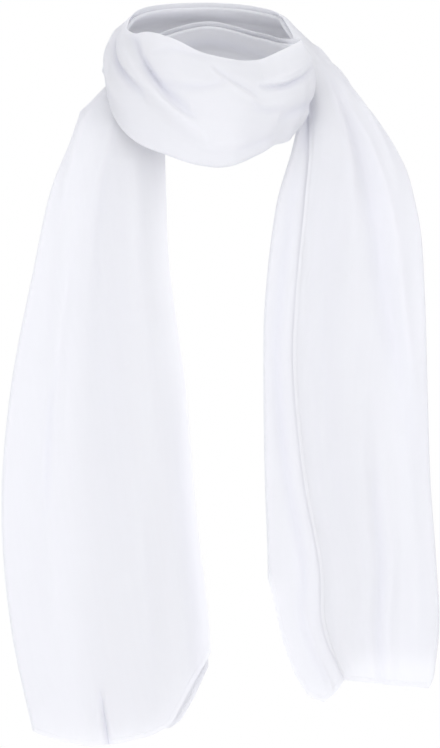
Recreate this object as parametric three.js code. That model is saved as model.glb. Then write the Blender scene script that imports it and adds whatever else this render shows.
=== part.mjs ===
// Chiffon scarf worn with one turn round the neck. One long rectangle of sheer cloth runs up from
// the foot of the left tail, over the left shoulder and round the nape (inner wrap), across the
// front of the neck (front swag), round the nape again outside itself (outer wrap), and over the
// right shoulder down to the foot of the right tail. Each stretch is a gathered band of three
// layers, folded at its margins like a flattened letter S.
// Units are millimetres: +Z up, -Y to the front, +X to the viewer's right. The origin is the
// middle of the neck opening, at the height where the wraps lie on the shoulders.
import * as THREE from "three";

// ---- driving dimensions ----
const WALL = 1.2; // thickness of the cloth's wall
const SEAM_GAP = 0.3; // space between two stretches, and between a hem and its cloth
const HEM_WIDTH = 3.5; // height of the rolled hem at a tail's foot
const SIDE_HEM_SHARE = 0.03; // share of the right tail's face that its open edge's rolled hem takes
const SIDE_HEM_GAP = 0.6; // beside that hem at the shoulder, where the face is narrowest
const HEM_DROP = 0.9; // from the cloth to its hem, which keeps the seam gap where they bend
const HEM_WALL = 1.8; // a rolled hem is thicker than its cloth
const FOLD_STEPS = 3; // panels round the bend between two layers
const SECTION_SPACING = 25; // about how far apart two neighbouring sections are round the neck
const STEP_ALONG = 0.05; // share of that spacing over which the cloth's direction is taken
const SEARCH_PASSES = 24; // halvings that find where the cloth meets its foot
const CLOTH_COLOUR = 0xeceef5;
const HEM_COLOUR = 0xf6f7fb;

// ---- the scarf's sections, in order along the cloth ----
// a is the middle of the band's open margin: its top edge round the neck, its inner edge on a tail.
// b is the outside of the bend at its other margin. bow is how far the face stands out of the line
// from a to b. Behind the face, a second layer runs from b back to reach, and a third from there to
// third, both measured from a along that line. gap is the space from one layer to the next.
const SECTION_COLUMNS = ["ax", "ay", "az", "bx", "by", "bz", "bow", "reach", "third", "gap"];
const SECTIONS = [
  // left tail, from below its foot to the top of the shoulder
  [6, -92, -550, -134, -88, -550, 6, 6, 96, 6],
  [3, -94, -450, -156, -90, -450, 7, 6, 100, 6],
  [-8, -95, -352, -164, -92, -352, 7, 6, 96, 6],
  [-16, -92, -256, -157, -89, -256, 6, 6, 88, 6],
  [-29, -82, -160, -139, -79, -160, 5, 6, 72, 5],
  [-32, -66, -96, -125.5, -62, -96, 5, 6, 60, 5],
  [-34, -50, -54, -110, -44, -56, 4, 5, 50, 4],
  [-42, -30, -27, -104, -24, -37, 3, 5, 40, 3.5],
  [-54, -2, -4, -101, 2, -29, 3, 5, 30, 3],
  // inner wrap
  [-54, 26, 14, -86, 34, -20, 2, 5, 28, 3],
  [-41, 50, 32, -57, 61, -6, 2, 5, 30, 3],
  [0, 64, 44, 0, 77, 6, 2, 5, 30, 3],
  [42, 49, 35, 53, 58, -4, 2, 5, 32, 3],
  // front swag, from the viewer's right to the left
  [61, 12, 29, 67, 12, -26, 3, 5, 36, 3],
  [68, -20, 27, 66, -30, -46, 5, 6, 42, 3.5],
  [77, -47, 25, 69, -60, -56, 13, 8, 50, 5],
  [60, -65, 16, 57, -78, -60, 15, 8, 56, 6],
  [42, -72, 9, 44, -93, -67, 14, 8, 58, 7],
  [20, -82, 9.5, 20, -106, -77, 15, 8, 60, 7],
  [-4, -82, 15, -6, -106, -76, 15, 8, 60, 7],
  [-27, -72, 26, -32, -96, -68, 14, 8, 60, 6.5],
  [-47, -52, 32, -58, -77, -57, 12, 8, 56, 5.5],
  [-60, -26, 32, -76, -44, -36, 9, 6, 48, 4],
  [-65, 4, 38, -83, -4, -6, 5, 5, 34, 3],
  // outer wrap
  [-61, 36, 49, -83, 38, 4, 3, 5, 34, 3],
  [-43, 65, 57, -56, 78, 9, 3, 5, 36, 3],
  [0, 80, 60, 0, 94, 12, 3, 5, 36, 3],
  [38, 67, 57, 54, 80, 8, 3, 5, 36, 3],
  [57, 40, 52, 84, 46, 3, 3, 5, 38, 3],
  // right tail, from the top of the shoulder to below its foot
  [60, 12, 47, 111, 12, -3, 2, 6, 40, 3],
  [69, -7, 32, 122, -4, -18, 3, 6, 36, 3],
  [77, -25, 9, 138, -20, -37, 4, 4, 40, 3.5],
  [84, -39, -27, 153, -30, -60, 5, -4, 44, 4],
  [83.5, -56, -62, 165, -49, -88, 6, -10, 46, 5.5],
  [79, -75, -110, 173, -70, -128, 6, -19, 52, 6],
  [72, -87, -180, 176, -84, -184, 6, -21, 60, 6],
  [70, -95, -240, 177.5, -91, -240, 6, -20.5, 64, 6],
  [78, -96, -325, 180, -92, -325, 6, -27.5, 60, 6],
  [91, -95, -396, 185, -91, -396, 6, -38, 46, 6],
  [95, -94, -450, 187, -90, -450, 6, -42, 40, 6],
  [124, -92, -520, 178, -88, -520, 5, -62, 10, 6],
];

// ---- the largest folds ----
// A fold lies in all layers alike. It runs along the cloth from section `from` to section `to`, and
// across it from fraction `enter` of the line from a to b to fraction `leave`. width is half its
// breadth, and height how far it stands out, below zero for a trough.
const FOLD_COLUMNS = ["from", "to", "enter", "leave", "width", "height"];
const FOLDS = [
  // left tail
  [0.3, 1.1, 0.6, 0.6, 5, -3],
  [0.6, 7.2, 0.78, 0.82, 9, 3],
  [1.4, 5.5, 0.44, 0.5, 16, -4],
  [2.2, 6.2, 0.2, 0.3, 9, 3],
  // front swag
  [18.6, 23.0, 0.8, 0.1, 9, 6],
  [19.0, 22.2, 0.64, -0.04, 7, -6],
  [20.4, 23.4, 0.58, 0.22, 6, -5],
  [14.6, 17.3, 0.3, 0.34, 6, -4],
  [14.0, 16.4, 0.66, 0.74, 6, -2],
  [21.4, 23.8, 0.76, 0.5, 7, 2],
  // outer wrap
  [23.2, 28.8, 0.3, 0.4, 6, 2],
  // right tail
  [30.6, 36.8, 0.33, 0.9, 10, -4],
  [33.0, 38.6, 0.2, 0.22, 14, -4],
  [33.2, 39.2, 0.78, 0.8, 9, 3],
  [34.8, 40.2, 0.56, 0.5, 8, 3],
];

// ---- the hems' heights ----
// The cloth of a tail ends at height `front` in its face and at height `behind` in its other
// layers. The rows go from the open margin to the bend.
const HEM_COLUMNS = ["x", "front", "behind"];
const LEFT_HEM = [
  [4, -465, -470],
  [1, -472, -479],
  [-10, -490, -503],
  [-20, -509, -520],
  [-28, -524, -526],
  [-43, -532, -528],
  [-66, -538, -532],
  [-92, -541, -535],
  [-117, -537, -533],
  [-141, -529, -526],
];
const RIGHT_HEM = [
  [48, -400, -400],
  [54, -424, -424],
  [61, -446, -456],
  [70, -452, -482],
  [82, -456, -501],
  [94, -462, -506],
  [104, -478, -498],
  [110, -488, -489],
  [122, -489, -473],
  [148, -492, -470],
  [182, -495, -472],
];

// ---- the stretches ----
// from and to are places in the table of sections. along is the number of panels along the cloth,
// and the other counts are those across each of its three layers.
const LEFT_SHOULDER = 8;
const RIGHT_NECK = 13;
const LEFT_NECK = 23;
const RIGHT_SHOULDER = 29;
const FOOT = SECTIONS.length - 1;
const SIDE_HEMMED = "right_tail"; // the stretch whose open edge shows
const STRETCHES = [
  { name: "left_tail", from: 0, to: LEFT_SHOULDER, along: 20, layers: [13, 6, 4], hem: "left" },
  { name: "back_wrap_inner", from: LEFT_SHOULDER, to: RIGHT_NECK, along: 10, layers: [6, 3, 2] },
  { name: "front_swag", from: RIGHT_NECK, to: LEFT_NECK, along: 18, layers: [12, 5, 3] },
  { name: "back_wrap_outer", from: LEFT_NECK, to: RIGHT_SHOULDER, along: 10, layers: [6, 3, 2] },
  { name: "right_tail", from: RIGHT_SHOULDER, to: FOOT, along: 20, layers: [12, 8, 4], hem: "right" },
];

// Names the numbers of a table's rows.
function named(rows, columns) {
  return rows.map((row) => Object.fromEntries(columns.map((column, i) => [column, row[i]])));
}

const sections = named(SECTIONS, SECTION_COLUMNS);
const folds = named(FOLDS, FOLD_COLUMNS);
const hems = { left: named(LEFT_HEM, HEM_COLUMNS), right: named(RIGHT_HEM, HEM_COLUMNS) };

// Smooth curve through four neighbouring values, between the middle two.
function blend(before, start, end, after, t) {
  const rise = (end - before) / 2;
  const fall = (after - start) / 2;
  const bend = 3 * (end - start) - 2 * rise - fall;
  const twist = 2 * (start - end) + rise + fall;
  return start + t * (rise + t * (bend + t * twist));
}

// The section at any place along the cloth, between the rows of the table.
function sectionAt(place) {
  const index = Math.min(Math.max(Math.floor(place), 0), sections.length - 2);
  const near = [-1, 0, 1, 2].map((step) => {
    return sections[Math.min(Math.max(index + step, 0), sections.length - 1)];
  });
  const mixed = {};
  for (const column of SECTION_COLUMNS) {
    mixed[column] = blend(...near.map((row) => row[column]), place - index);
  }
  return mixed;
}

const openMargin = (row) => new THREE.Vector3(row.ax, row.ay, row.az);
const bentMargin = (row) => new THREE.Vector3(row.bx, row.by, row.bz);
const middle = (row) => openMargin(row).add(bentMargin(row)).multiplyScalar(0.5);

// How far the folds lift the cloth at a place along it and a fraction across it.
function relief(place, across, breadth) {
  let lift = 0;
  for (const fold of folds) {
    const run = (place - fold.from) / (fold.to - fold.from);
    if (run <= 0 || run >= 1) continue;
    const centre = fold.enter + (fold.leave - fold.enter) * run;
    const away = ((across - centre) * breadth) / fold.width;
    lift += fold.height * Math.sqrt(Math.sin(Math.PI * run)) * Math.exp(-away * away);
  }
  return lift;
}

// The section as a frame: where it starts, the way it runs, the way it faces, and its breadth.
function frameAt(place) {
  const row = sectionAt(place);
  const start = openMargin(row);
  const breadth = start.distanceTo(bentMargin(row));
  const run = bentMargin(row).sub(start).divideScalar(breadth);
  const ahead = middle(sectionAt(place + STEP_ALONG)).sub(middle(sectionAt(place - STEP_ALONG)));
  const out = new THREE.Vector3().crossVectors(ahead, run).normalize();
  return { row, start, run, out, breadth: breadth - (row.gap + WALL) / 2 };
}

// A point of the section, `run` from its start along the line from a to b and `depth` behind it.
function inFrame(place, frame, run, depth) {
  const across = run / frame.breadth;
  const arch = Math.sin(Math.PI * Math.min(Math.max(across, 0), 1));
  const lift = frame.row.bow * arch + relief(place, across, frame.breadth) - depth;
  return frame.start.clone().addScaledVector(frame.run, run).addScaledVector(frame.out, lift);
}

// The parts of a section: a layer runs from one distance to another at a depth, and a bend turns
// round a distance from one depth to the next. Each part has a number of steps.
function partsOf(frame, layers) {
  const { reach, third, gap } = frame.row;
  const turn = gap / 2;
  return [
    { steps: layers[0], at: (t) => [t * frame.breadth, 0] },
    { steps: FOLD_STEPS, at: (t) => bend(frame.breadth, turn, turn, t) },
    { steps: layers[1], at: (t) => [frame.breadth + (reach - frame.breadth) * t, gap] },
    { steps: FOLD_STEPS, at: (t) => bend(reach, -turn, 3 * turn, t) },
    { steps: layers[2], at: (t) => [reach + (third - reach) * t, 2 * gap] },
  ];
}

// A half turn of the cloth: bulge is its radius, with a sign for its side, and depth its middle.
function bend(run, bulge, depth, t) {
  return [run + bulge * Math.sin(Math.PI * t), depth - Math.abs(bulge) * Math.cos(Math.PI * t)];
}

// The point of the cloth at a place along it and a step across its layers. Whole steps are the
// corners of its panels.
function clothPoint(place, step, layers) {
  const frame = frameAt(place);
  let left = step;
  const parts = partsOf(frame, layers);
  for (const part of parts) {
    if (left <= part.steps || part === parts.at(-1)) {
      const [run, depth] = part.at(left / part.steps);
      return inFrame(place, frame, run, depth);
    }
    left -= part.steps;
  }
}

const stepsAcross = (layers) => layers[0] + layers[1] + layers[2] + 2 * FOLD_STEPS;

// A tail's foot at x, in its face (share 0) or in the layers behind it (share 1): its height, and
// how much taller a strip along it stands there because the foot slants.
function footAt(hem, x, share) {
  const rows = hem[0].x < hem.at(-1).x ? hem : hem.toReversed();
  let index = 0;
  while (index < rows.length - 2 && rows[index + 1].x < x) index += 1;
  const [low, high] = [rows[index], rows[index + 1]];
  const part = Math.min(Math.max((x - low.x) / (high.x - low.x), 0), 1);
  const heightOf = (row) => row.front + (row.behind - row.front) * share;
  const rise = heightOf(high) - heightOf(low);
  return { height: heightOf(low) + rise * part, slant: Math.hypot(1, rise / (high.x - low.x)) };
}

// The place along a tail where the cloth at a step across it comes down to its foot, raised by up.
function footPlace(stretch, step, up) {
  const left = stretch.hem === "left";
  const share = Math.min(Math.max((step - stretch.layers[0]) / FOLD_STEPS, 0), 1);
  let inside = left ? LEFT_SHOULDER : RIGHT_SHOULDER;
  let outside = left ? 0 : FOOT;
  for (let pass = 0; pass < SEARCH_PASSES; pass += 1) {
    const place = (inside + outside) / 2;
    const point = clothPoint(place, step, stretch.layers);
    const foot = footAt(hems[stretch.hem], point.x, share);
    if (point.z > foot.height + up * foot.slant) inside = place;
    else outside = place;
  }
  return inside;
}

// A closed wall round a grid of points, half of it on each side of them.
function wallRound(grid, thickness) {
  const rows = grid.length;
  const columns = grid[0].length;
  const positions = [];
  for (const side of [1, -1]) {
    for (let i = 0; i < rows; i += 1) {
      for (let j = 0; j < columns; j += 1) {
        const along = grid[Math.min(i + 1, rows - 1)][j].clone().sub(grid[Math.max(i - 1, 0)][j]);
        const across = grid[i][Math.min(j + 1, columns - 1)].clone().sub(grid[i][Math.max(j - 1, 0)]);
        const normal = along.cross(across).normalize();
        const point = grid[i][j].clone().addScaledVector(normal, (side * thickness) / 2);
        positions.push(point.x, point.y, point.z);
      }
    }
  }
  const geometry = new THREE.BufferGeometry();
  geometry.setAttribute("position", new THREE.Float32BufferAttribute(positions, 3));
  geometry.setIndex(wallFaces(rows, columns));
  geometry.computeVertexNormals();
  return geometry;
}

// The triangles of such a wall: its two faces, then its rim.
function wallFaces(rows, columns) {
  const faces = [];
  const corner = (side, i, j) => side * rows * columns + i * columns + j;
  const quad = (p, q, r, s) => faces.push(p, q, r, p, r, s);
  for (let i = 0; i < rows - 1; i += 1) {
    for (let j = 0; j < columns - 1; j += 1) {
      quad(corner(0, i, j), corner(0, i + 1, j), corner(0, i + 1, j + 1), corner(0, i, j + 1));
      quad(corner(1, i, j), corner(1, i, j + 1), corner(1, i + 1, j + 1), corner(1, i + 1, j));
    }
  }
  const last = [rows - 1, columns - 1];
  for (let i = 0; i < last[0]; i += 1) {
    quad(corner(0, i, 0), corner(1, i, 0), corner(1, i + 1, 0), corner(0, i + 1, 0));
    quad(corner(0, i + 1, last[1]), corner(1, i + 1, last[1]), corner(1, i, last[1]), corner(0, i, last[1]));
  }
  for (let j = 0; j < last[1]; j += 1) {
    quad(corner(0, 0, j + 1), corner(1, 0, j + 1), corner(1, 0, j), corner(0, 0, j));
    quad(corner(0, last[0], j), corner(1, last[0], j), corner(1, last[0], j + 1), corner(0, last[0], j + 1));
  }
  return faces;
}

// A grid over the cloth. ends(step) gives the two places between which it runs at each step.
function clothGrid(layers, along, steps, ends) {
  const limits = steps.map((step) => ends(step));
  const grid = [];
  for (let i = 0; i <= along; i += 1) {
    grid.push(steps.map((step, j) => {
      const [from, to] = limits[j];
      return clothPoint(from + ((to - from) * i) / along, step, layers);
    }));
  }
  return grid;
}

// The places where a stretch's cloth ends at a step: at a foot, or half a seam gap from its
// neighbour.
const END_TRIM = SEAM_GAP / 2 / SECTION_SPACING;

function stretchEnds(stretch, step) {
  const foot = stretch.hem ? footPlace(stretch, step, HEM_WIDTH + HEM_DROP) : 0;
  const from = stretch.hem === "left" ? foot : stretch.from + END_TRIM;
  const to = stretch.hem === "right" ? foot : stretch.to - END_TRIM;
  return [from, to];
}

function allSteps(layers, first = 0) {
  const steps = [first];
  for (let step = Math.floor(first) + 1; step <= stepsAcross(layers); step += 1) steps.push(step);
  return steps;
}

const group = new THREE.Group();
export default group;

function addNode(name, geometry, colour) {
  const material = new THREE.MeshStandardMaterial({ color: colour, roughness: 0.85 });
  const mesh = new THREE.Mesh(geometry, material);
  mesh.name = name;
  group.add(mesh);
}

for (const stretch of STRETCHES) {
  const hemmed = stretch.name === SIDE_HEMMED ? SIDE_HEM_SHARE * stretch.layers[0] : 0;
  const ends = (step) => stretchEnds(stretch, step);
  const grid = clothGrid(stretch.layers, stretch.along, allSteps(stretch.layers, hemmed), ends);
  addNode(stretch.name, wallRound(grid, WALL), CLOTH_COLOUR);
  if (!hemmed) continue;

  // The rolled hem down the open edge of the face.
  const gapSteps = (SIDE_HEM_GAP / frameAt(stretch.from).breadth) * stretch.layers[0];
  const hemSteps = [0, hemmed - gapSteps];
  const hemGrid = clothGrid(stretch.layers, stretch.along, hemSteps, ends);
  addNode(`${stretch.name}_side_hem`, wallRound(hemGrid, HEM_WALL), HEM_COLOUR);
}

// The rolled hem at the foot of each tail.
for (const stretch of STRETCHES.filter((one) => one.hem)) {
  const ends = (step) => {
    const places = [footPlace(stretch, step, 0), footPlace(stretch, step, HEM_WIDTH)];
    return stretch.hem === "left" ? places : places.toReversed();
  };
  const grid = clothGrid(stretch.layers, 1, allSteps(stretch.layers), ends);
  addNode(`${stretch.name}_hem`, wallRound(grid, HEM_WALL), HEM_COLOUR);
}
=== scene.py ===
"""White chiffon scarf, worn with one turn round the neck, and hanging in front in two long tails.

The cloth is one rectangle in five stretches, each a gathered band of three layers. A stretch is a
loft through the sections below, in millimetres in the row frame: +Z up, -Y to the front.
"""
import copy
import math

import bpy
import numpy as np
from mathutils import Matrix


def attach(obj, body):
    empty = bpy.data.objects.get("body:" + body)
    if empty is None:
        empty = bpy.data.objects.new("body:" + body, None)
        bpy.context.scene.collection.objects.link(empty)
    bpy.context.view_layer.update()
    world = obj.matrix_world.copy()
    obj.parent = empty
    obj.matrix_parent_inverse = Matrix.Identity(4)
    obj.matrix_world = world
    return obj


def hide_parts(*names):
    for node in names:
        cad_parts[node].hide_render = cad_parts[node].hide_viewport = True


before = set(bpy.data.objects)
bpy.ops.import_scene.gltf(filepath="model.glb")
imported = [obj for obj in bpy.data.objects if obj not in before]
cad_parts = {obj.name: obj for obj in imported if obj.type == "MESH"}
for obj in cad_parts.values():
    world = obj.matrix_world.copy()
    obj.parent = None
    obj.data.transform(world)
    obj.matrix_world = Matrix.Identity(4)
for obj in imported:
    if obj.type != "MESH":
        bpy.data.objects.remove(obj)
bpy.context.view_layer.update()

# ---- driving dimensions ----
MM = 0.001  # metres in a millimetre
WALL = 1.2  # the frame's wall, which the middle of the cloth lies in
CLOTH_THICKNESS = 0.45
HEM_THICKNESS = 0.6
SEAM_GAP = 0.3
SECTION_SPACING = 27.0  # about how far apart two neighbouring sections are in the front swag
MEAN_SPACING = 40.0  # and about how far apart they are over the whole cloth
STEP_ALONG = 0.05  # share of a spacing to each side over which the cloth's direction is measured
HEM_WIDTH = 3.5
HEM_DROP = 0.1  # from the cloth to the hem at a foot
SIDE_HEM_SHARE = 0.03  # share of the right tail's face that its side hem takes
SIDE_HEM_GAP = 0.001  # and the share left clear beside it
COARSE = 1.0  # how much coarser the cloth's panels are
BEND_STEPS = 6  # panels round the bend between two layers
HEM_STEPS = 3  # panels across the breadth of a hem
WIDTH_SAMPLES = 33  # places where a stretch's layers are measured
LENGTH_SAMPLES = 200  # and points that its length is measured through
SEARCH_PASSES = 22  # halvings that find where the cloth meets its foot
FOOT_STEP = 3.0  # how far to the side the slope of a foot is measured
STITCH_LENGTH = 2.2
STITCH_PITCH = 3.4
STITCH_RADIUS = 0.2
STITCH_RISE = 0.12  # how far a stitch stands out of its hem
STITCH_LINE = 0.72  # share of a hem's height where its stitches run

# ---- the scarf's sections, in order along the cloth ----
# a is the middle of the open margin and b the outside of the bend at the other one. bow is how far
# the face stands out, and reach, third and gap place the two layers behind it, as in the frame.
SECTION_COLUMNS = ("ax", "ay", "az", "bx", "by", "bz", "bow", "reach", "third", "gap")
SECTIONS = np.array([
    # left tail, from below its foot to the top of the shoulder
    (6, -92, -550, -134, -88, -550, 6, 6, 96, 6),
    (3, -94, -450, -156, -90, -450, 7, 6, 100, 6),
    (-8, -95, -352, -164, -92, -352, 7, 6, 96, 6),
    (-16, -92, -256, -157, -89, -256, 6, 6, 88, 6),
    (-29, -82, -160, -139, -79, -160, 5, 6, 72, 5),
    (-32, -66, -96, -125.5, -62, -96, 5, 6, 60, 5),
    (-34, -50, -54, -110, -44, -56, 4, 5, 50, 4),
    (-42, -30, -27, -104, -24, -37, 3, 5, 40, 3.5),
    (-54, -2, -4, -101, 2, -29, 3, 5, 30, 3),
    # inner wrap
    (-54, 26, 14, -86, 34, -20, 2, 5, 28, 3),
    (-41, 50, 32, -57, 61, -6, 2, 5, 30, 3),
    (0, 64, 44, 0, 77, 6, 2, 5, 30, 3),
    (42, 49, 35, 53, 58, -4, 2, 5, 32, 3),
    # front swag, from the viewer's right to the left
    (61, 12, 29, 67, 12, -26, 3, 5, 36, 3),
    (68, -20, 27, 66, -30, -46, 5, 6, 42, 3.5),
    (77, -47, 25, 69, -60, -56, 13, 8, 50, 5),
    (60, -65, 16, 57, -78, -60, 15, 8, 56, 6),
    (42, -72, 9, 44, -93, -67, 14, 8, 58, 7),
    (20, -82, 9.5, 20, -106, -77, 15, 8, 60, 7),
    (-4, -82, 15, -6, -106, -76, 15, 8, 60, 7),
    (-27, -72, 26, -32, -96, -68, 14, 8, 60, 6.5),
    (-47, -52, 32, -58, -77, -57, 12, 8, 56, 5.5),
    (-60, -26, 32, -76, -44, -36, 9, 6, 48, 4),
    (-65, 4, 38, -83, -4, -6, 5, 5, 34, 3),
    # outer wrap
    (-61, 36, 49, -83, 38, 4, 3, 5, 34, 3),
    (-43, 65, 57, -56, 78, 9, 3, 5, 36, 3),
    (0, 80, 60, 0, 94, 12, 3, 5, 36, 3),
    (38, 67, 57, 54, 80, 8, 3, 5, 36, 3),
    (57, 40, 52, 84, 46, 3, 3, 5, 38, 3),
    # right tail, from the top of the shoulder to below its foot
    (60, 12, 47, 111, 12, -3, 2, 6, 40, 3),
    (69, -7, 32, 122, -4, -18, 3, 6, 36, 3),
    (77, -25, 9, 138, -20, -37, 4, 4, 40, 3.5),
    (84, -39, -27, 153, -30, -60, 5, -4, 44, 4),
    (83.5, -56, -62, 165, -49, -88, 6, -10, 46, 5.5),
    (79, -75, -110, 173, -70, -128, 6, -19, 52, 6),
    (72, -87, -180, 176, -84, -184, 6, -21, 60, 6),
    (70, -95, -240, 177.5, -91, -240, 6, -20.5, 64, 6),
    (78, -96, -325, 180, -92, -325, 6, -27.5, 60, 6),
    (91, -95, -396, 185, -91, -396, 6, -38, 46, 6),
    (95, -94, -450, 187, -90, -450, 6, -42, 40, 6),
    (124, -92, -520, 178, -88, -520, 5, -62, 10, 6),
], dtype=float)

# The heights of a tail's foot: x, the height of the face's hem, and that of the layers behind it.
LEFT_HEM = (
    (-141, -529, -526), (-117, -537, -533), (-92, -541, -535), (-66, -538, -532), (-43, -532, -528),
    (-28, -524, -526), (-20, -509, -520), (-10, -490, -503), (1, -472, -479), (4, -465, -470),
)
RIGHT_HEM = (
    (48, -400, -400), (54, -424, -424), (61, -446, -456), (70, -452, -482), (82, -456, -501),
    (94, -462, -506), (104, -478, -498), (110, -488, -489), (122, -489, -473), (148, -492, -470),
    (182, -495, -472),
)

# Places in the table of sections where the stretches meet.
LEFT_SHOULDER = 8
RIGHT_NECK = 13
LEFT_NECK = 23
RIGHT_SHOULDER = 29
FOOT = len(SECTIONS) - 1

# ---- creases ----
# A crease runs from one place along the cloth to another. first, second, third and last are the
# fractions of the way across the face where it lies at four even stages. toward_a and toward_b are
# how far it spreads to each side, so that one side can be steeper. height is how far it stands out,
# below zero for a trough.
CREASE_COLUMNS = (
    "start", "end", "first", "second", "third", "last", "toward_a", "toward_b", "height",
)
CREASES = np.array([
    # left tail: the short pleat at its foot, then its long soft folds
    (-0.4, 0.62, 0.6, 0.6, 0.6, 0.6, 1.5, 2.2, -3.5),
    (-0.2, 0.6, 0.64, 0.64, 0.64, 0.63, 2.5, 5, 1.4),
    (4.4, 7.8, 0.89, 0.93, 0.94, 0.72, 5, 4, 2.8),
    (0.6, 7.2, 0.78, 0.78, 0.8, 0.82, 9, 9, 3),
    (1.4, 5.5, 0.44, 0.46, 0.48, 0.5, 16, 16, -4),
    (2.2, 6.2, 0.2, 0.22, 0.26, 0.3, 9, 9, 3),
    (2.0, 4.1, 0.72, 0.74, 0.76, 0.74, 4, 6, 1.6),
    (1.9, 3.2, 0.79, 0.78, 0.78, 0.76, 3, 3, -1.4),
    (3.4, 7.6, 0.56, 0.6, 0.58, 0.5, 4, 6, 1.5),
    (0.4, 2.6, 0.33, 0.31, 0.29, 0.3, 7, 7, 1.6),
    (0.3, 3.0, 0.07, 0.06, 0.05, 0.05, 8, 8, -3),
    # front swag: the diagonal roll, the pocket under its edge, and the line on its other side
    (18.6, 23.0, 0.80, 0.60, 0.27, 0.12, 8, 9, 4),
    (18.9, 22.3, 0.71, 0.55, 0.255, 0.09, 2.0, 6, 3),
    (19.0, 22.2, 0.65, 0.49, 0.19, 0.03, 5, 1.9, -3.2),
    (19.2, 20.8, 0.60, 0.52, 0.42, 0.28, 7, 2.2, -2.6),
    (20.4, 23.4, 0.57, 0.43, 0.30, 0.20, 2.0, 6, -4.4),
    # front swag: the creases that draw in to its right end, and the faint ones between
    (14.9, 17.3, 0.27, 0.37, 0.375, 0.31, 1.8, 3.6, -3.8),
    (14.8, 17.0, 0.17, 0.24, 0.27, 0.24, 5, 3, 2.4),
    (18.2, 20.0, 0.25, 0.34, 0.39, 0.44, 2.6, 4, -1.8),
    (17.3, 18.7, 0.52, 0.38, 0.27, 0.16, 3, 3, 1.7),
    (17.3, 18.7, 0.45, 0.31, 0.20, 0.08, 4, 3, -1.1),
    (16.0, 17.6, 0.65, 0.64, 0.60, 0.5, 2.2, 3, -1.7),
    (18.6, 20.6, 0.04, 0.05, 0.1, 0.2, 3, 3, -1.2),
    (17.6, 19.0, 0.89, 0.89, 0.89, 0.89, 2.5, 3, 1.4),
    (16.3, 17.9, 0.92, 0.93, 0.92, 0.9, 2.5, 3, -1.2),
    (14.0, 16.4, 0.66, 0.66, 0.7, 0.74, 5, 5, -2.4),
    (21.4, 23.8, 0.76, 0.7, 0.62, 0.5, 6, 6, 2.4),
    # inner and outer wraps
    (8.6, 13.4, 0.34, 0.4, 0.42, 0.4, 5, 5, -2),
    (9.6, 12.6, 0.66, 0.62, 0.6, 0.64, 4, 4, 1.5),
    (23.2, 28.8, 0.3, 0.36, 0.33, 0.4, 4, 6, 2.6),
    (24.0, 27.4, 0.62, 0.56, 0.58, 0.5, 4, 4, -2.2),
    (23.6, 26.6, 0.14, 0.12, 0.16, 0.2, 3, 4, -1.6),
    (26.2, 30.4, 0.72, 0.66, 0.62, 0.6, 5, 5, 2.2),
    # right tail: it sinks behind the swag's right end, and then its long soft folds
    (30.1, 33.1, 0.085, 0.055, 0.015, -0.04, 7, 3.4, -3.6),
    (30.6, 36.8, 0.33, 0.5, 0.68, 0.9, 8, 10, -4.5),
    (31.4, 37.0, 0.52, 0.72, 0.86, 0.98, 6, 5, 2.2),
    (30.0, 35.0, 0.3, 0.36, 0.4, 0.44, 6, 6, 2.5),
    (33.0, 38.6, 0.2, 0.22, 0.23, 0.22, 14, 14, -4),
    (33.2, 39.2, 0.84, 0.85, 0.86, 0.86, 7, 7, 2.2),
    (36.2, 40.3, 0.52, 0.45, 0.38, 0.3, 6, 6, 2.8),
    (36.6, 40.3, 0.69, 0.63, 0.57, 0.5, 5, 5, 2.4),
    (36.8, 40.3, 0.6, 0.54, 0.48, 0.4, 4, 4, -1.6),
    (29.2, 33.4, 0.8, 0.84, 0.86, 0.86, 5, 5, 1.8),
    (33.4, 39.6, -0.1, -0.12, -0.13, -0.2, 5, 4, -2),
    (37.6, 40.2, -0.18, -0.16, -0.14, -0.18, 3, 4, 1.8),
], dtype=float)

# A crease across the cloth. from_a and to_b are the fractions of the way across the face that it
# runs between, first, middle and last are its places along the cloth, and toward_start and
# toward_end are its spread to each side.
CROSS_COLUMNS = (
    "from_a", "to_b", "first", "middle", "last", "toward_start", "toward_end", "height",
)
CROSS_CREASES = np.array([
    # the swag's right end rolls out into a lip
    (0.1, 1.0, 14.95, 14.86, 14.8, 4.5, 2.6, 2.6),
    (0.22, 0.92, 15.24, 15.16, 15.1, 2.0, 4.0, -1.7),
    (0.3, 0.62, 14.62, 14.6, 14.6, 3.0, 3.0, -2.0),
], dtype=float)

# A slow unevenness of the whole drape: half its height, the distances that one wave of it takes
# along and across the cloth, and where the wave starts.
SWELLS = ((0.5, 190.0, 61.0, 0.4), (0.35, 83.0, 37.0, 2.1), (0.22, 47.0, 171.0, 4.0))
MARGIN_ROLL = 1.6  # how far an open margin round the neck rolls back
MARGIN_REACH = 4.0
EDGE_SINK = 4.4  # how far the right tail's open edge lies down on the layer behind it
EDGE_REACH = 8.0
EDGE_START = 2  # sections past the shoulder where that begins
EDGE_RUN = 4  # and sections that it takes to lie down fully
DEEP_FOLD = 6.0  # depth of a trough that is painted its full fold shade
NARROW_FOLD = 10.0  # breadth of a trough past which its painted shade weakens


def section_at(place):
    """The table's values at any places along the cloth, on a smooth curve through its rows."""
    index = np.clip(np.floor(place).astype(int), 0, FOOT - 1)
    t = (place - index)[..., None]
    before, start, end, after = (SECTIONS[np.clip(index + step, 0, FOOT)] for step in (-1, 0, 1, 2))
    rise = (end - before) / 2
    fall = (after - start) / 2
    bend = 3 * (end - start) - 2 * rise - fall
    twist = 2 * (start - end) + rise + fall
    return start + t * (rise + t * (bend + t * twist))


def middle_at(place):
    """The middle of the line from a to b."""
    row = section_at(place)
    return (row[..., 0:3] + row[..., 3:6]) / 2


def unit(vectors):
    return vectors / np.linalg.norm(vectors, axis=-1, keepdims=True)


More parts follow.
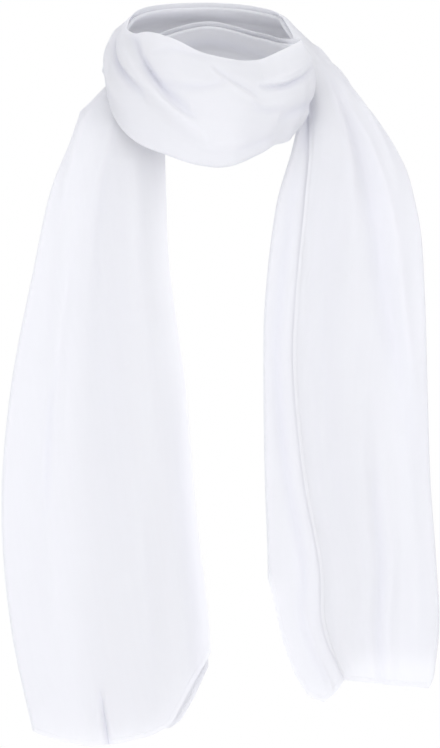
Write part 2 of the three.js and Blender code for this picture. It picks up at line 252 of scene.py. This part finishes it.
def stage_curve(run, first, second, third, last):
    """A smooth curve that has four values at even stages of its run."""
    step = 3 * run
    rise = second - first
    bend = (third - 2 * second + first) / 2
    twist = (last - 3 * third + 3 * second - first) / 6
    return first + step * (rise + (step - 1) * (bend + (step - 2) * twist))


def crease_lift(place, across, breadth):
    """How far the creases lift the cloth, and how deep in a narrow fold that leaves it, as the mask
    for the painted fold shade.
    """
    lift = np.zeros_like(place)
    fold = np.zeros_like(place)
    for start, end, first, second, third, last, toward_a, toward_b, height in CREASES:
        run = np.clip((place - start) / (end - start), 0, 1)
        centre = stage_curve(run, first, second, third, last)
        away = (across - centre) * breadth
        away = away / np.where(away < 0, toward_a, toward_b)
        rise = height * np.sqrt(np.sin(math.pi * run)) * np.exp(-away * away)
        lift += rise
        if height < 0:
            fold -= rise * min(1, (NARROW_FOLD / (toward_a + toward_b)) ** 2)
    return lift, np.clip(fold / DEEP_FOLD, 0, 1)


def cross_lift(place, across):
    """How far the creases that lie across the cloth lift it."""
    lift = np.zeros_like(place)
    for from_a, to_b, first, middle, last, toward_start, toward_end, height in CROSS_CREASES:
        run = np.clip((across - from_a) / (to_b - from_a), 0, 1)
        centre = first + (last - first) * run + 4 * (middle - (first + last) / 2) * run * (1 - run)
        away = (place - centre) * SECTION_SPACING
        away = away / np.where(away < 0, toward_start, toward_end)
        lift += height * np.sqrt(np.sin(math.pi * run)) * np.exp(-away * away)
    return lift


def swell_lift(along, run):
    """How far the drape's slow unevenness lifts the cloth."""
    lift = np.zeros_like(run)
    for height, wave_along, wave_across, phase in SWELLS:
        lift += height * np.sin(math.tau * (along / wave_along + run / wave_across) + phase)
    return lift


def cloth_at(place, part, t):
    """Points of the cloth, and how deep in a fold each is, from 0 to 1, which sets the painted fold
    shade.

    part is 0, 2 or 4 in the three layers and 1 or 3 in the bends between them.
    """
    row = section_at(place)
    start = row[..., 0:3]
    line = row[..., 3:6] - start
    bow, reach, third, gap = (row[..., column] for column in range(6, 10))
    breadth = np.linalg.norm(line, axis=-1)
    ahead = middle_at(place + STEP_ALONG) - middle_at(place - STEP_ALONG)
    way = unit(line)
    out = unit(np.cross(ahead, way))
    breadth = breadth - (gap + WALL) / 2
    turn = gap / 2
    swing = np.sin(math.pi * t) * turn
    sink = np.cos(math.pi * t) * turn
    runs = [t * breadth, breadth + swing, breadth + (reach - breadth) * t, reach - swing,
            reach + (third - reach) * t]
    depths = [np.zeros_like(t), turn - sink, gap, 3 * turn - sink, 2 * gap]
    run = np.choose(part, runs)
    depth = np.choose(part, depths)
    across = run / breadth
    lift, fold = crease_lift(place, across, breadth)
    lift += bow * np.sin(math.pi * np.clip(across, 0, 1)) - depth
    lift += cross_lift(place, across) + swell_lift(place * MEAN_SPACING, run)
    face = part == 0
    round_neck = (place > LEFT_SHOULDER) & (place < RIGHT_SHOULDER)
    lift -= face * round_neck * MARGIN_ROLL * np.exp(-((run / MARGIN_REACH) ** 2))
    settled = np.clip((place - RIGHT_SHOULDER - EDGE_START) / EDGE_RUN, 0, 1)
    lift -= face * settled * EDGE_SINK * np.exp(-((run / EDGE_REACH) ** 2))
    return start + way * run[..., None] + out * lift[..., None], fold


# ---- the stretches ----
class Stretch:
    """One stretch of the scarf: its name, its places along the cloth, and its foot's hem if any.

    side_hem is the share of its face that a rolled hem down its open edge takes.
    """

    def __init__(self, name, start, end, panel, hem=None, side_hem=0.0):
        self.name = name
        self.along, self.across = (size * COARSE for size in panel)
        self.start = start
        self.end = end
        self.hem = hem
        self.side_hem = side_hem
        self.parts, self.ts = self.columns()

    def layer_widths(self):
        """The widths of the three layers and of the bends between them at even places along."""
        row = section_at(np.linspace(self.start, self.end, WIDTH_SAMPLES))
        breadth = np.linalg.norm(row[:, 3:6] - row[:, 0:3], axis=1)
        reach, third, gap = row[:, 7], row[:, 8], row[:, 9]
        bend = math.pi * gap / 2
        return np.array([breadth, bend, breadth - reach, bend, third - reach])

    def columns(self):
        """The part of the section and the share of it for each column of the mesh."""
        parts = []
        ts = []
        for part, length in enumerate(self.layer_widths().mean(axis=1)):
            steps = BEND_STEPS if part % 2 else math.ceil(length / self.across)
            first = 0 if part == 0 else 1
            for step in range(first, steps + 1):
                parts.append(part)
                ts.append(step / steps)
        ts[0] = self.side_hem
        return np.array(parts), np.array(ts)

    def set_columns(self, parts, ts):
        """A narrow strip of the same stretch, through its own columns."""
        strip = copy.copy(self)
        strip.parts = parts
        strip.ts = ts
        return strip

    def share_behind(self):
        """0 in the face's columns, 1 in the layers behind, and between them round the first bend."""
        return np.where(self.parts == 0, 0.0, np.where(self.parts == 1, self.ts, 1.0))

    def foot_height(self, x, up):
        """The height of the foot at x in each column, raised by up square to the hem."""
        table = np.array(sorted(self.hem), dtype=float)
        share = self.share_behind()
        front = np.interp(x, table[:, 0], table[:, 1])
        behind = np.interp(x, table[:, 0], table[:, 2])
        beside = np.interp(x + FOOT_STEP, table[:, 0], table[:, 1]) * (1 - share)
        beside += np.interp(x + FOOT_STEP, table[:, 0], table[:, 2]) * share
        height = front * (1 - share) + behind * share
        return height + up * np.hypot(1, (beside - height) / FOOT_STEP)

    def foot_places(self, up):
        """The place along the tail where each column comes down to its foot, raised by up."""
        left = self.start == 0
        inside = np.full(self.ts.shape, float(LEFT_SHOULDER if left else RIGHT_SHOULDER))
        outside = np.full(self.ts.shape, float(0 if left else FOOT))
        for _ in range(SEARCH_PASSES):
            place = (inside + outside) / 2
            points, _ = cloth_at(place, self.parts, self.ts)
            above = points[:, 2] > self.foot_height(points[:, 0], up)
            inside = np.where(above, place, inside)
            outside = np.where(above, outside, place)
        return inside

    def ends(self, up):
        """The two places between which each column of the cloth runs."""
        gap = SEAM_GAP / 2 / SECTION_SPACING
        low = np.full(self.ts.shape, self.start + gap)
        high = np.full(self.ts.shape, self.end - gap)
        if self.hem and self.start == 0:
            low = self.foot_places(up)
        elif self.hem:
            high = self.foot_places(up)
        return low, high

    def grid(self, low, high, steps):
        """Points in rows along the cloth, evenly spread between each column's two ends.

        With them comes how deep in a fold each one is, which sets its painted fold shade.
        """
        share = np.linspace(0, 1, steps + 1)[:, None]
        place = low + (high - low) * share
        parts = np.broadcast_to(self.parts, place.shape)
        ts = np.broadcast_to(self.ts, place.shape)
        return cloth_at(place, parts, ts)

    def length(self):
        """The length of the stretch along the middle of its band, down to its foot."""
        low, high = self.ends(0)
        path = middle_at(np.linspace(low.min(), high.max(), LENGTH_SAMPLES))
        return np.linalg.norm(np.diff(path, axis=0), axis=1).sum()

    def cut(self):
        """The flat cloth in the stretch, in metres: its width, its length and its area."""
        widths = self.layer_widths().sum(axis=0) * MM
        length = self.length() * MM
        low, high = self.ends(0)
        share = (high - low).mean() / (high.max() - low.min())
        return widths.max(), length, widths.mean() * length * share


TAIL_PANEL = (3.4, 1.6)  # length and breadth of one panel of the mesh
WRAP_PANEL = (2.6, 1.8)
SWAG_PANEL = (1.5, 1.6)
STRETCHES = {
    stretch.name: stretch for stretch in (
        Stretch("left_tail", 0, LEFT_SHOULDER, TAIL_PANEL, LEFT_HEM),
        Stretch("back_wrap_inner", LEFT_SHOULDER, RIGHT_NECK, WRAP_PANEL),
        Stretch("front_swag", RIGHT_NECK, LEFT_NECK, SWAG_PANEL),
        Stretch("back_wrap_outer", LEFT_NECK, RIGHT_SHOULDER, WRAP_PANEL),
        Stretch("right_tail", RIGHT_SHOULDER, FOOT, TAIL_PANEL, RIGHT_HEM, SIDE_HEM_SHARE),
    )
}


# ---- meshes ----
def cumulative(points, axis):
    """Distances along one direction of a grid of points, from its first row or column."""
    steps = np.linalg.norm(np.diff(points, axis=axis), axis=2)
    pad = [(0, 0), (0, 0)]
    pad[axis] = (1, 0)
    return np.cumsum(np.pad(steps, pad), axis=axis)


def grid_mesh(name, points, fold):
    """A sheet through a grid of points in millimetres, with its cloth's own lengths as UVs.

    Its attribute fold says how deep in a fold the cloth is, and so how much painted shade its colour
    takes.
    """
    rows, columns, _ = points.shape
    vertices = (points * MM).reshape(-1, 3)
    corner = np.arange(rows * columns).reshape(rows, columns)
    faces = np.stack([corner[:-1, :-1], corner[1:, :-1], corner[1:, 1:], corner[:-1, 1:]], axis=-1)
    mesh = bpy.data.meshes.new(name)
    mesh.from_pydata(vertices.tolist(), [], faces.reshape(-1, 4).tolist())
    flat = np.stack([cumulative(points, 1), cumulative(points, 0)], axis=-1) * MM
    corners = np.empty(len(mesh.loops), dtype=int)
    mesh.loops.foreach_get("vertex_index", corners)
    layer = mesh.uv_layers.new(name="cloth")
    layer.data.foreach_set("uv", flat.reshape(-1, 2)[corners].ravel())
    depth = mesh.attributes.new("fold", "FLOAT", "POINT")
    depth.data.foreach_set("value", fold.ravel())
    obj = bpy.data.objects.new(name, mesh)
    bpy.context.scene.collection.objects.link(obj)
    return obj


RIM_ANGLE = math.radians(50)  # the rim of a sheet meets its faces in a crisp edge


def thicken(obj, thickness):
    """Gives a sheet its thickness, half on each side, with its faces smooth and its rim crisp."""
    wall = obj.modifiers.new("wall", "SOLIDIFY")
    wall.thickness = thickness * MM
    wall.offset = 0
    bpy.ops.object.select_all(action="DESELECT")
    bpy.context.view_layer.objects.active = obj
    obj.select_set(True)
    bpy.ops.object.modifier_apply(modifier=wall.name)
    bpy.ops.object.shade_smooth_by_angle(angle=RIM_ANGLE)
    obj.select_set(False)


def finish_piece(obj, node, material):
    """The piece stands for its node, rides with it, and takes its material and slot."""
    obj.data.materials.clear()
    obj.data.materials.append(material)
    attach(obj, "root")
    if node:
        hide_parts(node)


# ---- materials ----
class Value:
    """A shader socket that takes arithmetic, each operation as a Math node."""

    def __init__(self, graph, socket):
        self.graph = graph
        self.socket = socket

    def math(self, operation, *others, swap=False):
        inputs = [self, *others]
        if swap:
            inputs.reverse()
        values = {index: value for index, value in enumerate(inputs)}
        return self.graph.node("ShaderNodeMath", {"operation": operation}, values)[0]

    def __add__(self, other):
        return self.math("ADD", other)

    __radd__ = __add__

    def __sub__(self, other):
        return self.math("SUBTRACT", other)

    def __rsub__(self, other):
        return self.math("SUBTRACT", other, swap=True)

    def __mul__(self, other):
        return self.math("MULTIPLY", other)

    __rmul__ = __mul__


class Graph:
    """The nodes of one material, or of the world."""

    def __init__(self, owner):
        owner.use_nodes = True
        self.owner = owner
        self.tree = owner.node_tree
        self.tree.nodes.clear()

    def node(self, kind, settings, values):
        """Adds a node and gives its outputs. Settings are set before the sockets' values or links."""
        node = self.tree.nodes.new(kind)
        for key, value in settings.items():
            setattr(node, key, value)
        for key, value in values.items():
            if isinstance(value, Value):
                self.tree.links.new(value.socket, node.inputs[key])
            else:
                node.inputs[key].default_value = value
        return [Value(self, socket) for socket in node.outputs]


CLOTH_THIN = (0.936, 0.937, 0.946, 1)  # between the fuller threads
CLOTH_FULL = (0.944, 0.945, 0.95, 1)
CLOTH_GLOW = (0.936, 0.938, 0.97, 1)  # the light that comes through the cloth
GLOW_SHARE = 0.42
SHEEN_TINT = (0.93, 0.94, 1.0, 1)
FOLD_SHADE_COLOUR = (0.85, 0.855, 0.935, 1)  # painted shade: the darker, violet colour painted into the troughs of the creases, where shade gathers
FOLD_SHADE = 0.8  # how much of that painted shade the deepest fold takes
THREADS_PER_METRE = 2400.0
CREPE_SCALE = 900.0  # grains of crepe in a metre of cloth
SLUB_SCALE = (260.0, 9.0, 1.0)  # slubs are long along the cloth and narrow across it
WEAVE_SHARE = 0.25  # how much of the cloth's relief is its weave, its crepe grain and its slubs
CREPE_SHARE = 0.6
SLUB_SHARE = 0.08
THREAD_COLOUR = (0.93, 0.933, 0.95, 1)
COLOUR_A, COLOUR_B = 6, 7  # the colour inputs of a Mix node
MIXED_COLOUR = 2  # and its colour output
SHADER_A, SHADER_B = 1, 2  # the shader inputs of a Mix Shader
FACTOR = 2  # the output of an Attribute node that gives a single number
OBJECT_PLACE = 3  # the output of Texture Coordinate that gives places on the piece


def weave_height(graph, uv):
    """The threads of the weave, over and under, as a height."""
    across, along, _ = graph.node("ShaderNodeSeparateXYZ", {}, {"Vector": uv})
    warp = (across * (math.tau * THREADS_PER_METRE / 2)).math("SINE")
    weft = (along * (math.tau * THREADS_PER_METRE / 2)).math("SINE")
    return warp * weft


def chiffon(name, opacity, density_swing):
    """Sheer chiffon: light comes through it, its density varies slowly from thread to thread, and
    painted shade darkens it in the creases' troughs.
    """
    graph = Graph(bpy.data.materials.new(name))
    uv = graph.node("ShaderNodeUVMap", {"uv_map": "cloth"}, {})[0]
    crepe = graph.node("ShaderNodeTexNoise", {}, {
        "Vector": uv, "Scale": CREPE_SCALE, "Detail": 2.0, "Roughness": 0.6,
    })[0]
    stretched = graph.node("ShaderNodeMapping", {}, {"Vector": uv, "Scale": SLUB_SCALE})[0]
    slubs = graph.node("ShaderNodeTexNoise", {}, {
        "Vector": stretched, "Scale": 1.0, "Detail": 3.0, "Roughness": 0.55,
    })[0]
    height = weave_height(graph, uv) * WEAVE_SHARE + crepe * CREPE_SHARE + slubs * SLUB_SHARE
    normal = graph.node("ShaderNodeBump", {}, {
        "Strength": 0.22, "Distance": 0.00025, "Height": height,
    })[0]
    alpha = slubs * density_swing + (opacity - density_swing / 2)
    even = graph.node("ShaderNodeMix", {"data_type": "RGBA"}, {
        "Factor": slubs, COLOUR_A: CLOTH_THIN, COLOUR_B: CLOTH_FULL,
    })[MIXED_COLOUR]
    # Painted shade: the creases' troughs are coloured darker and more violet, as the shade in them.
    fold = graph.node("ShaderNodeAttribute", {"attribute_name": "fold"}, {})[FACTOR]
    fold_shaded_colour = graph.node("ShaderNodeMix", {"data_type": "RGBA"}, {
        "Factor": fold * FOLD_SHADE, COLOUR_A: even, COLOUR_B: FOLD_SHADE_COLOUR,
    })[MIXED_COLOUR]
    cloth = graph.node("ShaderNodeBsdfPrincipled", {}, {
        "Base Color": fold_shaded_colour, "Roughness": 0.82, "Specular IOR Level": 0.25, "Sheen Weight": 0.25,
        "Sheen Roughness": 0.4, "Sheen Tint": SHEEN_TINT, "Alpha": alpha,
        "Normal": normal,
    })[0]
    glow = graph.node("ShaderNodeBsdfTranslucent", {}, {"Color": CLOTH_GLOW, "Normal": normal})[0]
    both = graph.node("ShaderNodeMixShader", {}, {
        "Fac": GLOW_SHARE, SHADER_A: cloth, SHADER_B: glow,
    })[0]
    graph.node("ShaderNodeOutputMaterial", {}, {"Surface": both})
    return graph.owner


def sewing_thread(name):
    """Fine white sewing thread, with its twist as a bump."""
    graph = Graph(bpy.data.materials.new(name))
    place = graph.node("ShaderNodeTexCoord", {}, {})[OBJECT_PLACE]
    twist = graph.node("ShaderNodeTexNoise", {}, {"Vector": place, "Scale": 2500.0})[0]
    normal = graph.node("ShaderNodeBump", {}, {
        "Strength": 0.2, "Distance": 0.0001, "Height": twist,
    })[0]
    thread = graph.node("ShaderNodeBsdfPrincipled", {}, {
        "Base Color": THREAD_COLOUR, "Roughness": 0.7, "Sheen Weight": 0.2, "Normal": normal,
    })[0]
    graph.node("ShaderNodeOutputMaterial", {}, {"Surface": thread})
    return graph.owner


chiffon_material = chiffon("chiffon", opacity=0.86, density_swing=0.03)
hem_material = chiffon("rolled_hem", opacity=0.9, density_swing=0.02)
thread_material = sewing_thread("sewing_thread")

# ---- the cloth ----
for name, stretch in STRETCHES.items():
    low, high = stretch.ends(HEM_WIDTH + HEM_DROP)
    steps = math.ceil(stretch.length() / stretch.along)
    piece = grid_mesh(name + "_cloth", *stretch.grid(low, high, steps))
    thicken(piece, CLOTH_THICKNESS)
    finish_piece(piece, name, chiffon_material)


# ---- the hems and their stitches ----
def facing(points):
    """The way the cloth faces at each point of a grid."""
    return unit(np.cross(np.gradient(points, axis=1), np.gradient(points, axis=0)))


# The corners of a stitch are its two tips, its two sides, its top and its underside, in that order.
STITCH_CORNERS = 6
STITCH_FACES = (
    (0, 2, 4), (2, 1, 4), (1, 3, 4), (3, 0, 4), (2, 0, 5), (1, 2, 5), (3, 1, 5), (0, 3, 5),
)


def stitch_row(name, path, out):
    """Short stitches in a row along a path, each a slim lens of thread through the hem."""
    steps = np.linalg.norm(np.diff(path, axis=0), axis=1)
    distance = np.concatenate([[0], np.cumsum(steps)])
    count = int(distance[-1] / STITCH_PITCH)
    at = (np.arange(count) + 0.5) * STITCH_PITCH
    centre, ahead, up = (
        np.stack([np.interp(at, distance, values[:, axis]) for axis in range(3)], axis=1)
        for values in (path, np.gradient(path, distance, axis=0), out)
    )
    ahead = unit(ahead)
    side = unit(np.cross(up, ahead))
    up = np.cross(ahead, side)
    rise = HEM_THICKNESS / 2 + STITCH_RISE
    halves = ((ahead, STITCH_LENGTH / 2), (side, STITCH_RADIUS), (up, rise))
    corners = [centre + way * reach * sign for way, reach in halves for sign in (1, -1)]
    vertices = np.stack(corners, axis=1).reshape(-1, 3) * MM
    faces = [
        tuple(STITCH_CORNERS * stitch + corner for corner in face)
        for stitch in range(count) for face in STITCH_FACES
    ]
    mesh = bpy.data.meshes.new(name)
    mesh.from_pydata(vertices.tolist(), [], faces)
    obj = bpy.data.objects.new(name, mesh)
    bpy.context.scene.collection.objects.link(obj)
    finish_piece(obj, None, thread_material)
    return obj


def foot_hem(stretch):
    """The rolled hem at a tail's foot, in line with the cloth above it, and its stitches."""
    low = stretch.foot_places(0)
    high = stretch.foot_places(HEM_WIDTH)
    if stretch.start != 0:
        low, high = high, low
    hem = grid_mesh(stretch.name + "_rolled_hem", *stretch.grid(low, high, HEM_STEPS))
    thicken(hem, HEM_THICKNESS)
    finish_piece(hem, stretch.name + "_hem", hem_material)
    line = stretch.foot_places(HEM_WIDTH * STITCH_LINE)
    strip, _ = stretch.grid(line, line + SEAM_GAP / SECTION_SPACING, 1)
    return [hem, stitch_row(stretch.name + "_hem_stitches", strip[0], facing(strip)[0])]


def side_hem(stretch):
    """The rolled hem down the open edge of a tail's face, and its stitches."""
    shares = np.linspace(0, stretch.side_hem - SIDE_HEM_GAP, HEM_STEPS + 1)
    strip = stretch.set_columns(np.zeros(HEM_STEPS + 1, dtype=int), shares)
    low, high = strip.ends(HEM_WIDTH + HEM_DROP)
    points, fold = strip.grid(low, high, math.ceil(stretch.length() / stretch.along))
    hem = grid_mesh(stretch.name + "_side_rolled_hem", points, fold)
    thicken(hem, HEM_THICKNESS)
    finish_piece(hem, stretch.name + "_side_hem", hem_material)
    line = HEM_STEPS - 1
    stitches = stitch_row(stretch.name + "_side_stitches", points[:, line], facing(points)[:, line])
    return [hem, stitches]


hems = {name: foot_hem(STRETCHES[name]) for name in ("left_tail", "right_tail")}
hems["right_tail"] += side_hem(STRETCHES["right_tail"])

# What each stretch is held by, and how it is held there.
HELD_BY = {
    "left_tail": ("hung", ["back_wrap_inner_cloth"]),
    "back_wrap_inner": ("gathered", []),
    "front_swag": ("draped", ["left_tail_cloth"]),
    "back_wrap_outer": ("gathered", ["back_wrap_inner_cloth"]),
    "right_tail": ("hung", ["back_wrap_outer_cloth"]),
}
for name, (held, rests_on) in HELD_BY.items():
    width, length, area = STRETCHES[name].cut()

# ---- camera, light and stage ----
VIEW_HEIGHT = 0.5984  # what the camera takes in, where the tails hang
CAMERA_DISTANCE = 9.0
CAMERA_AIM = (0.0112, -0.09, -0.2432)
SENSOR = 36.0

camera_data = bpy.data.cameras.new("camera")
camera = bpy.data.objects.new("camera", camera_data)
bpy.context.scene.collection.objects.link(camera)
bpy.context.scene.camera = camera
camera_data.sensor_fit = "VERTICAL"
camera_data.sensor_height = SENSOR
camera_data.lens = SENSOR * CAMERA_DISTANCE / VIEW_HEIGHT
camera_data.clip_end = 60.0
camera.location = (CAMERA_AIM[0], CAMERA_AIM[1] - CAMERA_DISTANCE, CAMERA_AIM[2])
camera.rotation_euler = (math.radians(90), 0, 0)

FLOOR_LEVEL = -0.9
FLOOR_SIZE = 5.0
bpy.ops.object.select_all(action="DESELECT")
bpy.ops.mesh.primitive_plane_add(size=FLOOR_SIZE, location=(0, 0, FLOOR_LEVEL))
floor = bpy.context.object
floor.name = "floor"
floor_graph = Graph(bpy.data.materials.new("pale_floor"))
floor_shade = floor_graph.node("ShaderNodeBsdfPrincipled", {}, {
    "Base Color": (0.93, 0.93, 0.94, 1), "Roughness": 0.9,
})[0]
floor_graph.node("ShaderNodeOutputMaterial", {}, {"Surface": floor_shade})
floor.data.materials.append(floor_graph.owner)


def area_light(name, place, target, size, power, colour):
    """A soft square light that looks from a place at a target."""
    data = bpy.data.lights.new(name, "AREA")
    data.size = size
    data.energy = power
    data.color = colour
    light = bpy.data.objects.new(name, data)
    bpy.context.scene.collection.objects.link(light)
    away = np.array(place) - np.array(target)
    flat = math.hypot(away[0], away[1])
    light.location = place
    light.rotation_euler = (math.atan2(flat, away[2]), 0, math.atan2(away[0], -away[1]))


KEY_COLOUR = (1.0, 0.995, 0.985)
TOP_COLOUR = (1.0, 0.995, 0.99)
area_light("left_key", (-1.5, -2.0, -0.6), (0, 0, -0.2), size=1.4, power=10.5, colour=KEY_COLOUR)
area_light("right_key", (1.4, -2.1, -0.7), (0, 0, -0.2), size=1.4, power=7.5, colour=KEY_COLOUR)
area_light("low_key", (-0.1, -2.3, -1.3), (0, 0, -0.15), size=1.4, power=11.0, colour=KEY_COLOUR)
area_light("top", (0.3, -0.7, 1.6), (0, 0, 0), size=1.2, power=3.0, colour=TOP_COLOUR)

# The studio shows plain white, and lights the scarf softly from all round, most from the front.
STUDIO_LIGHT = 0.98
STUDIO_FRONT = 0.2
STUDIO_COLOUR = (0.98, 0.983, 1.0, 1)
studio = Graph(bpy.data.worlds.new("studio"))
bpy.context.scene.world = studio.owner
shown = studio.node("ShaderNodeBackground", {}, {"Color": (1, 1, 1, 1), "Strength": 1.0})[0]
way = studio.node("ShaderNodeTexCoord", {}, {})[0]
back = studio.node("ShaderNodeSeparateXYZ", {}, {"Vector": way})[1]
lit = studio.node("ShaderNodeBackground", {}, {
    "Color": STUDIO_COLOUR, "Strength": STUDIO_LIGHT - back * STUDIO_FRONT,
})[0]
seen = studio.node("ShaderNodeLightPath", {}, {})[0]
both = studio.node("ShaderNodeMixShader", {}, {
    "Fac": seen, SHADER_A: lit, SHADER_B: shown,
})[0]
studio.node("ShaderNodeOutputWorld", {}, {"Surface": both})
bpy.context.scene.view_settings.view_transform = "Standard"
